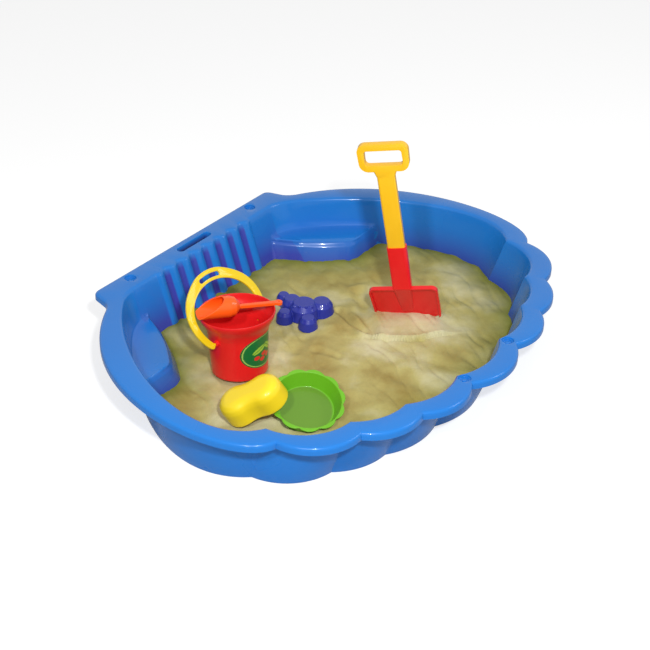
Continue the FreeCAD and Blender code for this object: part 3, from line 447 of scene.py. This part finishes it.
def moulded_plastic_group():
    """Soft waviness, fine grain and handling haze of a moulded plastic skin."""
    group = bpy.data.node_groups.new("moulded_plastic_skin", "ShaderNodeTree")
    for name, kind in (("Colour", "NodeSocketColor"), ("Shade", "NodeSocketColor"),
                       ("Cloud scale", "NodeSocketFloat"), ("Grain scale", "NodeSocketFloat"),
                       ("Roughness low", "NodeSocketFloat"), ("Roughness high", "NodeSocketFloat"),
                       ("Wave depth", "NodeSocketFloat"), ("Grain depth", "NodeSocketFloat")):
        group.interface.new_socket(name, in_out="INPUT", socket_type=kind)
    for name, kind in (("Colour", "NodeSocketColor"), ("Roughness", "NodeSocketFloat"),
                       ("Normal", "NodeSocketVector")):
        group.interface.new_socket(name, in_out="OUTPUT", socket_type=kind)
    nodes, links = group.nodes, group.links
    given, out = nodes.new("NodeGroupInput"), nodes.new("NodeGroupOutput")
    place = nodes.new("ShaderNodeTexCoord")
    cloud = nodes.new("ShaderNodeTexNoise")
    cloud.inputs["Detail"].default_value = 3
    grain = nodes.new("ShaderNodeTexNoise")
    grain.inputs["Detail"].default_value = 2
    for texture, scale in ((cloud, "Cloud scale"), (grain, "Grain scale")):
        links.new(place.outputs["Object"], texture.inputs["Vector"])
        links.new(given.outputs[scale], texture.inputs["Scale"])
    mix = colour_mix(group)
    links.new(cloud.outputs["Fac"], mix.inputs["Factor"])
    links.new(given.outputs["Colour"], mix.inputs["A"])
    links.new(given.outputs["Shade"], mix.inputs["B"])
    haze = nodes.new("ShaderNodeMapRange")
    links.new(cloud.outputs["Fac"], haze.inputs["Value"])
    links.new(given.outputs["Roughness low"], haze.inputs["To Min"])
    links.new(given.outputs["Roughness high"], haze.inputs["To Max"])
    haze.inputs["From Min"].default_value = 0.3
    haze.inputs["From Max"].default_value = 0.7
    wave = nodes.new("ShaderNodeBump")
    wave.inputs["Distance"].default_value = 0.01
    links.new(cloud.outputs["Fac"], wave.inputs["Height"])
    links.new(given.outputs["Wave depth"], wave.inputs["Strength"])
    fine = nodes.new("ShaderNodeBump")
    fine.inputs["Distance"].default_value = 0.0004
    links.new(grain.outputs["Fac"], fine.inputs["Height"])
    links.new(given.outputs["Grain depth"], fine.inputs["Strength"])
    links.new(wave.outputs["Normal"], fine.inputs["Normal"])
    links.new(mix.outputs["Result"], out.inputs["Colour"])
    links.new(haze.outputs["Result"], out.inputs["Roughness"])
    links.new(fine.outputs["Normal"], out.inputs["Normal"])
    return group


moulded_skin = moulded_plastic_group()


def set_levels(shader, **levels):
    """Set constants on a shader's own sockets."""
    for name, level in levels.items():
        shader.inputs[name.replace("_", " ")].default_value = level


def new_material(name):
    """A material with its plain shader, and that shader."""
    material = bpy.data.materials.new(name)
    material.use_nodes = True
    return material, material.node_tree.nodes["Principled BSDF"]


def moulded_plastic(name, colour, shade, low, high, cloud, wave, **levels):
    """A coloured plastic as it comes out of its mould: its colour clouds over to the shade, and
    its roughness runs from low to high. The levels go on the shader's own sockets."""
    material, shader = new_material(name)
    tree = material.node_tree
    skin = tree.nodes.new("ShaderNodeGroup")
    skin.node_tree = moulded_skin
    for socket, value in (("Colour", colour), ("Shade", shade), ("Cloud scale", cloud),
                          ("Grain scale", 900), ("Roughness low", low), ("Roughness high", high),
                          ("Wave depth", wave), ("Grain depth", 0.12)):
        skin.inputs[socket].default_value = value
    tree.links.new(skin.outputs["Colour"], shader.inputs["Base Color"])
    tree.links.new(skin.outputs["Roughness"], shader.inputs["Roughness"])
    tree.links.new(skin.outputs["Normal"], shader.inputs["Normal"])
    set_levels(shader, IOR=1.5, Specular_IOR_Level=0.2, **levels)
    return material


# Where the violet painted shade starts low in the tub, and how fast it grows
PAINTED_SHADE_BELOW = 108
PAINTED_SHADE_FADE = 76
BACK_WALL_FROM = 250
BACK_CORNER_HALF = 245


def paint_tub_shade(data):
    """Painted shade: how far each point lies down in the tub, in a flute's groove or towards the
    back corners, where violet painted shade is mixed into the blue.
    """
    tint = data.attributes.new("painted_shade", "FLOAT", "POINT")
    for vertex in data.vertices:
        x, y, z = vertex.co / MM
        facing_in = -vertex.normal.xy.dot(vertex.co.xy.normalized())
        painted_shade = 0.0
        if facing_in > 0.2 and z < RIM_HEIGHT - 3:
            painted_shade = 0.8 * min(1, max(0, (PAINTED_SHADE_BELOW - z) / PAINTED_SHADE_FADE)) ** 1.5
            if abs(x) < FLUTED_HALF and y > BACK_WALL_FROM:
                groove = math.cos(math.pi * x / (FLUTE_PITCH / 2))
                painted_shade = painted_shade * 0.2 + min(1, (RIM_HEIGHT - 4 - z) / 14) * min(1, max(0, groove * 2.6))
            elif abs(x) < BACK_CORNER_HALF and y > BACK_WALL_FROM:
                painted_shade = min(1, painted_shade + 0.5 * (1 - z / RIM_HEIGHT))
        tint.data[vertex.index].value = painted_shade


def tinted(material, attribute, colour, strength):
    """Mix a deeper colour in where a piece's attribute says, before the skin's own clouding."""
    tree = material.node_tree
    skin = next(found for found in tree.nodes if found.type == "GROUP")
    for socket in ("Colour", "Shade"):
        mix = colour_mix(tree)
        mix.inputs["A"].default_value = skin.inputs[socket].default_value
        mix.inputs["B"].default_value = colour
        share = node(material, "ShaderNodeMath")
        share.operation = "MULTIPLY"
        share.inputs[1].default_value = strength
        tree.links.new(read_attribute(material, attribute).outputs["Fac"], share.inputs[0])
        tree.links.new(share.outputs["Value"], mix.inputs["Factor"])
        tree.links.new(mix.outputs["Result"], skin.inputs[socket])


pit_blue = moulded_plastic("pit_blue", srgb(26, 110, 192), srgb(32, 120, 202),
                           low=0.2, high=0.3, cloud=5, wave=0.08,
                           Coat_Weight=0.35, Coat_Roughness=0.07, Coat_IOR=1.38)
# Painted shade: violet mixed into the blue low in the tub, in the flute grooves and in the back
# corners
tinted(pit_blue, "painted_shade", srgb(60, 50, 152), 0.85)
pit = as_object("pit_moulding", pit_skin(), [pit_blue], "pit")
carved(pit, under_rim(), "UNION")
carved(pit, rim_cutter())
# The pit's painted shade, worked out point by point
paint_tub_shade(pit.data)
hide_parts("sand_pit")


# ---------------------------------------------------------------------------
# Sand: dry play sand in gentle heaps, furrowed by hands and banked against the toys.
# ---------------------------------------------------------------------------
SAND_LEVEL = 30
SAND_CELL = 3.6
SAND_ACROSS = 1040
SAND_DEEP = 720
SAND_MIDDLE = 440
# (half width, setback, rise, reach) of each heap
SAND_HEAPS = [(190, 520, 16, 70), (90, 420, 8, 90), (-60, 560, 6, 120), (-230, 480, 6, 60),
              (330, 330, 6, 110), (-320, 300, -4, 90), (60, 250, 4, 80), (-120, 200, -3, 70),
              (250, 640, -6, 70)]
# (run of points, depth, reach) of each furrow
SAND_FURROWS = [([(108, 364), (87, 412), (67, 462)], 7, 8), ([(-51, 418), (-44, 472)], 2.5, 8),
                ([(210, 352), (162, 399), (116, 436), (73, 482)], 8, 13),
                ([(54, 522), (66, 600), (80, 683)], 2.5, 16), ([(-78, 380), (-20, 372)], 2, 12),
                ([(-180, 520), (-150, 600)], 2, 14), ([(300, 470), (350, 560)], 3, 22),
                ([(-20, 600), (-10, 700)], 2, 18)]
# Where the spade cut in: higher on one side of the run, lower on the other
SAND_CUT = [(64, 494), (74, 509), (109, 560), (173, 604)]
SAND_CUT_RISE = 11
SAND_DENT = (181, 380, 5, 26)


def off_run(place, run):
    """How far a place is from a run of points, and whether it lies on its left-hand side."""
    nearest, left = 1e9, False
    for start, end in zip(run, run[1:]):
        start, end = Vector(start), Vector(end)
        along = end - start
        share = min(1, max(0, (place - start).dot(along) / along.length_squared))
        away = place - start - along * share
        if away.length < nearest:
            nearest, left = away.length, along.cross(away) > 0
    return nearest, left


def sand_height(half_width, setback):
    """The sand's height from its heaps, furrows, cut and dent."""
    height = SAND_LEVEL
    for x, d, rise, reach in SAND_HEAPS:
        away = math.hypot(half_width - x, setback - d) / reach
        height += rise * math.exp(-away * away)
    place = Vector((half_width, setback))
    for run, depth, reach in SAND_FURROWS:  # a round groove between two low banks
        away = off_run(place, run)[0] / reach
        if away < 4:
            height += depth * (0.45 * math.exp(-(away - 1.9) ** 2 * 2) - math.exp(-away * away))
    away, left = off_run(place, SAND_CUT)
    if away < 90:
        share = -0.45 * math.exp(-away / 10) if left else 0.75 * math.exp(-away / 30)
        height += SAND_CUT_RISE * share
    x, d, depth, reach = SAND_DENT
    away = math.hypot(half_width - x, setback - d) / reach
    return height - depth * math.exp(-away * away)


# (half width, setback, height, tilt along x and y, radius) of each round base pressed in
SAND_SEATS = [(-206, 329, 33, -0.037, -0.081, 61), (-248.7, 537.2, 39.6, 0.21, 0.26, 62)]


def pressed(half_width, setback, height):
    """The sand's height with the bucket and the sieve pressed in, and a low bank round them."""
    for x, d, level, tilt_x, tilt_y, radius in SAND_SEATS:
        away = math.hypot(half_width - x, setback - d)
        base = level + tilt_x * (half_width - x) + tilt_y * (d - setback)
        if away < radius:
            height = min(height, base - 1)
        elif away < radius + 26:
            height += 3 * math.exp(-((away - radius - 5) / 9) ** 2) * (base < height + 8)
    return height


def sand_relief(half_width, setback):
    """Small lumps and the marks of fingers on top of the heaps."""
    place = Vector((half_width, setback, 0))
    lumps = noise.noise(place / 52) * 5 + noise.noise(place / 24 + Vector((9, 4, 2))) * 1.6
    grains = noise.noise(place / 7) * 0.45
    warp_x = noise.noise(place / 90) * 26
    warp_y = noise.noise(place / 90 + Vector((5, 3, 1))) * 26
    streak = Vector(((half_width + setback * 0.6 + warp_x) / 20, (setback + warp_y) / 110, 3))
    return lumps + grains - max(0, noise.noise(streak) - 0.1) * 6


def dense(outline, step):
    """The outline's points with more between them, no further than step apart, each with the
    outline's direction there."""
    found = []
    for a, b in zip(outline, outline[1:] + outline[:1]):
        pieces = max(1, math.ceil((b - a).length / step))
        found += [(a.lerp(b, piece / pieces), (b - a).normalized()) for piece in range(pieces)
                  if (b - a).length > 1e-6]
    return found


def sand_surface():
    """An even grid over the tub, cut off at the walls and raised to the sand's height."""
    wall = wall_level(SAND_LEVEL, 2)
    border = dense([past_seat(point, riser_spread(SAND_LEVEL) - 2)[0] for point in wall], 2)
    tree = kdtree.KDTree(len(border))
    for index, (point, _) in enumerate(border):
        tree.insert((point.x, point.y, 0), index)
    tree.balance()
    mesh = bmesh.new()
    bmesh.ops.create_grid(mesh, size=0.5, matrix=Matrix.Diagonal((SAND_ACROSS, SAND_DEEP, 1, 1)),
                          x_segments=int(SAND_ACROSS / SAND_CELL),
                          y_segments=int(SAND_DEEP / SAND_CELL))
    # Closeness to the wall: the mask of the sand's painted shade along the walls
    near_wall = mesh.verts.layers.float.new("near_wall")
    gone = []
    for vertex in mesh.verts:
        point = Vector((vertex.co.x, vertex.co.y + SAND_MIDDLE))
        _, index, away = tree.find((point.x, point.y, 0))
        close, along = border[index]
        if along.cross(point - close) < 0:
            if away > SAND_CELL * 1.1:
                gone.append(vertex)
                continue
            point = close
        height = sand_height(point.x, point.y) + sand_relief(point.x, point.y)
        height = pressed(point.x, point.y, height)
        # The painted wall shade fades out over 60 mm, and over 40 mm at the back left
        fade = 60 if point.x > -150 or point.y > 400 else 40
        vertex[near_wall] = math.exp(-away / fade)
        vertex.co = pit_at(point.x, point.y, height) * MM
    bmesh.ops.delete(mesh, geom=gone, context="VERTS")
    return mesh


def play_sand():
    """Pale dry sand, patchy, with fine grains, and an olive painted shade near the walls."""
    material, shader = new_material("sand")
    tree = material.node_tree
    place = node(material, "ShaderNodeTexCoord").outputs["Object"]
    patches = node(material, "ShaderNodeTexNoise", Vector=place, Scale=7, Detail=4, Roughness=0.5)
    grains = node(material, "ShaderNodeTexNoise", Vector=place, Scale=1100, Detail=2)
    ramp = tree.nodes.new("ShaderNodeValToRGB")
    ramp.color_ramp.elements[0].position = 0.3
    ramp.color_ramp.elements[0].color = srgb(152, 128, 68)
    ramp.color_ramp.elements[1].position = 0.7
    ramp.color_ramp.elements[1].color = srgb(210, 203, 166)
    ramp.color_ramp.elements.new(0.5).color = srgb(182, 170, 108)
    tree.links.new(patches.outputs["Fac"], ramp.inputs["Fac"])
    # Painted shade: olive mixed into the sand near the walls
    wall = read_attribute(material, "near_wall")
    painted_wall_shade = colour_mix(tree)
    painted_wall_shade.inputs["B"].default_value = srgb(112, 118, 40)
    tree.links.new(wall.outputs["Fac"], painted_wall_shade.inputs["Factor"])
    tree.links.new(ramp.outputs["Color"], painted_wall_shade.inputs["A"])
    specks = colour_mix(tree, "OVERLAY")
    specks.inputs["Factor"].default_value = 0.5
    tree.links.new(painted_wall_shade.outputs["Result"], specks.inputs["A"])
    tree.links.new(grains.outputs["Fac"], specks.inputs["B"])
    bump = node(material, "ShaderNodeBump", Height=grains.outputs["Fac"], Strength=0.5,
                Distance=0.0006)
    tree.links.new(specks.outputs["Result"], shader.inputs["Base Color"])
    tree.links.new(bump.outputs["Normal"], shader.inputs["Normal"])
    set_levels(shader, Roughness=0.95, Specular_IOR_Level=0.2)
    return material


sand = as_object("sand_bed", sand_surface(), [play_sand()], "pit", 180)
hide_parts("sand_fill")


# ---------------------------------------------------------------------------
# Bucket: a red injection-moulded pail with a thick rim and two bosses for the bail's pins.
# A printed oval is stuck round its side.
# ---------------------------------------------------------------------------
def merged_copy(source):
    """A node's own shape as one welded mesh."""
    mesh = bmesh.new()
    mesh.from_mesh(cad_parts[source].data)
    bmesh.ops.remove_doubles(mesh, verts=mesh.verts, dist=1e-5)
    return mesh


def softened(name, source, material, body, edge):
    """A node's own shape with its sharp edges rounded."""
    mesh = merged_copy(source)
    flat = [e for e in mesh.edges if len(e.link_faces) == 2 and e.calc_face_angle(0) < 0.002]
    bmesh.ops.dissolve_edges(mesh, edges=flat, use_verts=False)
    made = as_object(name, mesh, [material], body, 180)
    bevel = made.modifiers.new("edge", "BEVEL")
    bevel.width = edge * MM
    bevel.segments = 3
    bevel.limit_method = "ANGLE"
    bevel.angle_limit = math.radians(32)
    bevel.harden_normals = True
    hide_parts(source)
    return made


def toy_plastic(name, colour, shade):
    """Bright, slightly waxy polypropylene."""
    return moulded_plastic(name, colour, shade, low=0.3, high=0.38, cloud=14, wave=0.04,
                           Coat_Weight=0.3, Coat_Roughness=0.05)


bucket_red = toy_plastic("bucket_red", srgb(216, 26, 28), srgb(226, 34, 34))
bucket = softened("bucket_moulding", "bucket_shell", bucket_red, "bucket", 1.2)

BUCKET_FOOT = Vector((-206, 103.5, 33))
BUCKET_AXIS = Vector((0.037, 0.081, 1)).normalized()
LABEL_AZIMUTH = -83.7
LABEL_HALF_SPREAD = 54
LABEL_HEIGHT = 62
LABEL_HALF_HEIGHT = 38
LABEL_LEAN = 0.16
LABEL_CLEARANCE = 0.05
# (across, up, lean) of each leaf and (across, up) of each berry, with the oval's edge at 1
LEAVES = [(-0.26, 0.1, 0.7), (0.24, 0.16, -0.7)]
BERRIES = [(-0.3, -0.38), (-0.02, -0.5), (0.26, -0.34), (0.02, -0.2), (0.5, -0.06)]


def label_colour(across, up):
    """The print: a green oval with a pale border, two leaves and a few red berries."""
    out = math.hypot(across, up)
    if out > 0.95:
        return srgb(20, 84, 40)
    if out > 0.9:
        return srgb(150, 190, 90)
    for x, y, lean in LEAVES:
        along = (across - x) * math.cos(lean) + (up - y) * math.sin(lean)
        aside = (up - y) * math.cos(lean) - (across - x) * math.sin(lean)
        if (along / 0.34) ** 2 + (aside / 0.15) ** 2 < 1:
            return srgb(150, 190, 60) if abs(aside) > 0.02 else srgb(70, 130, 50)
    for x, y in BERRIES:
        if math.hypot(across - x, up - y) < 0.13:
            return srgb(214, 44, 40)
    return srgb(24, 106, 50)


def printed_oval():
    """A disc of small cells laid on the bucket's side by looking from all round at its axis."""
    wall = merged_copy("bucket_shell")
    surface = bvhtree.BVHTree.FromBMesh(wall)
    wall.free()
    mesh = bmesh.new()
    bmesh.ops.create_grid(mesh, x_segments=80, y_segments=80, size=1)
    print_colour = mesh.verts.layers.float_color.new("print")
    for vertex in mesh.verts:
        x, y = vertex.co.x, vertex.co.y
        across, up = x * math.sqrt(1 - y * y / 2), y * math.sqrt(1 - x * x / 2)
        vertex[print_colour] = label_colour(across, up)
        turn = math.radians(LABEL_AZIMUTH + LABEL_HALF_SPREAD * (across + LABEL_LEAN * up))
        outward = Vector((math.cos(turn), math.sin(turn), 0))
        outward = (outward - BUCKET_AXIS * outward.dot(BUCKET_AXIS)).normalized()
        height = LABEL_HEIGHT + LABEL_HALF_HEIGHT * (up - LABEL_LEAN * across)
        axis_point = (BUCKET_FOOT + BUCKET_AXIS * height) * MM
        hit = surface.ray_cast(axis_point + outward * 0.2, -outward)[0]
        vertex.co = hit + outward * LABEL_CLEARANCE * MM
    bmesh.ops.recalc_face_normals(mesh, faces=mesh.faces)
    return mesh


label_print, label_shader = new_material("label_print")
label_ink = read_attribute(label_print, "print")
label_print.node_tree.links.new(label_ink.outputs["Color"], label_shader.inputs["Base Color"])
set_levels(label_shader, Roughness=0.32)
label = as_object("bucket_label", printed_oval(), [label_print], "bucket", 60)
thickness = label.modifiers.new("thickness", "SOLIDIFY")
thickness.thickness = 0.15 * MM
thickness.offset = 1


# ---------------------------------------------------------------------------
# Bail: a yellow strap bent to a horseshoe, with a finger slot in its crown and two pins that
# snap into the bucket's bosses.
# ---------------------------------------------------------------------------
bail_yellow = toy_plastic("bail_yellow", srgb(222, 190, 16), srgb(228, 198, 24))
bail = softened("bail_moulding", "bucket_bail", bail_yellow, "bail", 1.5)


# ---------------------------------------------------------------------------
# Scoop: an orange trowel with a round back, cut on a slope, that lies across the bucket.
# ---------------------------------------------------------------------------
def melted(name, source, material, body, cell, rounds):
    """A node's own shape remade in small even cells and smoothed, as a soft-edged moulding."""
    made = as_object(name, merged_copy(source), [material], body, 180)
    cells = made.modifiers.new("cells", "REMESH")
    cells.mode = "VOXEL"
    cells.voxel_size = cell * MM
    cells.use_smooth_shade = True
    smooth = made.modifiers.new("smooth", "CORRECTIVE_SMOOTH")
    smooth.use_only_smooth = True
    smooth.iterations = rounds
    smooth.factor = 0.5
    seen = made.evaluated_get(bpy.context.evaluated_depsgraph_get())
    result = bpy.data.meshes.new_from_object(seen)
    made.modifiers.clear()
    made.data = result
    result.shade_smooth()
    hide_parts(source)
    return made


scoop_orange = toy_plastic("scoop_orange", srgb(246, 86, 16), srgb(250, 96, 24))
scoop = melted("scoop_moulding", "hand_scoop", scoop_orange, "scoop", 0.6, 4)


# ---------------------------------------------------------------------------
# Spade: a red blade with a raised edge and a socket, and a yellow shaft with a D grip pressed
# into it.
# ---------------------------------------------------------------------------
spade_red = toy_plastic("spade_red", srgb(218, 26, 30), srgb(228, 34, 36))
spade_yellow = toy_plastic("spade_yellow", srgb(244, 186, 28), srgb(250, 196, 38))
blade = softened("spade_moulding", "spade_blade", spade_red, "spade", 1.5)
grip = softened("spade_grip_moulding", "spade_handle", spade_yellow, "spade", 2)


# ---------------------------------------------------------------------------
# Animal mould: a hollow dark-blue sand mould of drafted lobes with flat-topped crowns.
# ---------------------------------------------------------------------------
mould_blue = toy_plastic("mould_blue", srgb(34, 44, 140), srgb(44, 54, 152))
animal = melted("animal_moulding", "animal_mould", mould_blue, "animal", 0.9, 5)


# ---------------------------------------------------------------------------
# Loaf mould: a hollow yellow sand mould, waisted, drawn in to a soft dome.
# ---------------------------------------------------------------------------
mould_yellow = toy_plastic("mould_yellow", srgb(236, 204, 30), srgb(244, 214, 40))
loaf = melted("loaf_moulding", "loaf_mould", mould_yellow, "loaf", 1.0, 30)


# ---------------------------------------------------------------------------
# Sieve: a green scalloped dish with a thin brim, dusty with sand on its floor.
# ---------------------------------------------------------------------------
SIEVE_CENTRE = Vector((-248.7, -104.7))
SIEVE_DUSTY_RADIUS = 57
sieve_green = toy_plastic("sieve_green", srgb(102, 172, 30), srgb(110, 180, 38))
tinted(sieve_green, "dusty", srgb(98, 132, 44), 0.85)
sieve = melted("sieve_moulding", "sand_sieve", sieve_green, "sieve", 1.0, 3)
dusty = sieve.data.attributes.new("dusty", "FLOAT", "POINT")
for vertex in sieve.data.vertices:
    away = (vertex.co.xy / MM - SIEVE_CENTRE).length
    flat = min(1, max(0, (vertex.normal.z - 0.6) / 0.25))
    dusty.data[vertex.index].value = flat * min(1, max(0, (SIEVE_DUSTY_RADIUS - away) / 4))


# ---------------------------------------------------------------------------
# Studio: a plain pale floor, two small bright lights near the camera and a broad weak one
# beside them, under a pale sky.
# ---------------------------------------------------------------------------
FLOOR_GLOW = 0.62
SKY_LIGHT = 0.44
CAMERA_PLACE = (-2.1046, -1.4518, 1.7349)
CAMERA_AIM = (0.0846, 0.0875, 0)
CAMERA_LENS = 76.71
CAMERA_ROLL = 1.57

floor_mesh = bmesh.new()
bmesh.ops.create_grid(floor_mesh, x_segments=1, y_segments=1, size=30)
bmesh.ops.translate(floor_mesh, verts=floor_mesh.verts, vec=(0, 0, -0.0005))
floor_white, floor_shader = new_material("studio_floor")
set_levels(floor_shader, Base_Color=(0.5, 0.5, 0.5, 1), Roughness=1, Specular_IOR_Level=0,
           Emission_Color=(1, 1, 1, 1))
rays = floor_white.node_tree.nodes.new("ShaderNodeLightPath")
glow = floor_white.node_tree.nodes.new("ShaderNodeMath")
glow.operation = "MULTIPLY"
glow.inputs[1].default_value = FLOOR_GLOW
floor_white.node_tree.links.new(rays.outputs["Is Camera Ray"], glow.inputs[0])
floor_white.node_tree.links.new(glow.outputs["Value"], floor_shader.inputs["Emission Strength"])
floor = as_object("studio_floor", floor_mesh, [floor_white])

world = bpy.data.worlds.new("studio")
bpy.context.scene.world = world
world.use_nodes = True
sky = world.node_tree.nodes["Background"]
sky.inputs["Color"].default_value = (1, 1, 1, 1)
path = world.node_tree.nodes.new("ShaderNodeLightPath")
seen = world.node_tree.nodes.new("ShaderNodeMath")
seen.operation = "MAXIMUM"
world.node_tree.links.new(path.outputs["Is Camera Ray"], seen.inputs[0])
world.node_tree.links.new(path.outputs["Is Glossy Ray"], seen.inputs[1])
level = world.node_tree.nodes.new("ShaderNodeMapRange")
level.inputs["To Min"].default_value = SKY_LIGHT
level.inputs["To Max"].default_value = 1.0
world.node_tree.links.new(seen.outputs["Value"], level.inputs["Value"])
world.node_tree.links.new(level.outputs["Result"], sky.inputs["Strength"])


def soft_light(name, place, size, power):
    """A square lamp that looks at the pit."""
    lamp = bpy.data.lights.new(name, "AREA")
    lamp.energy = power
    lamp.size = size
    made = bpy.data.objects.new(name, lamp)
    bpy.context.collection.objects.link(made)
    made.location = place
    made.rotation_euler = (-Vector(place)).to_track_quat("-Z", "Y").to_euler()


soft_light("key", (-1.81, -1.57, 2.05), 0.14, 58)
soft_light("second", (-2.25, -0.9, 2.1), 0.14, 26)
soft_light("side", (1.3, -2.1, 2.1), 0.9, 16)

camera = bpy.data.objects.new("camera", bpy.data.cameras.new("camera"))
bpy.context.collection.objects.link(camera)
camera.data.lens = CAMERA_LENS
camera.data.sensor_width = 36
camera.data.clip_end = 60
camera.location = CAMERA_PLACE
gaze = Vector(CAMERA_AIM) - camera.location
roll = Matrix.Rotation(math.radians(CAMERA_ROLL), 4, "Z")
camera.rotation_euler = (gaze.to_track_quat("-Z", "Y").to_matrix().to_4x4() @ roll).to_euler()
bpy.context.scene.camera = camera
bpy.context.scene.view_settings.view_transform = "Standard"
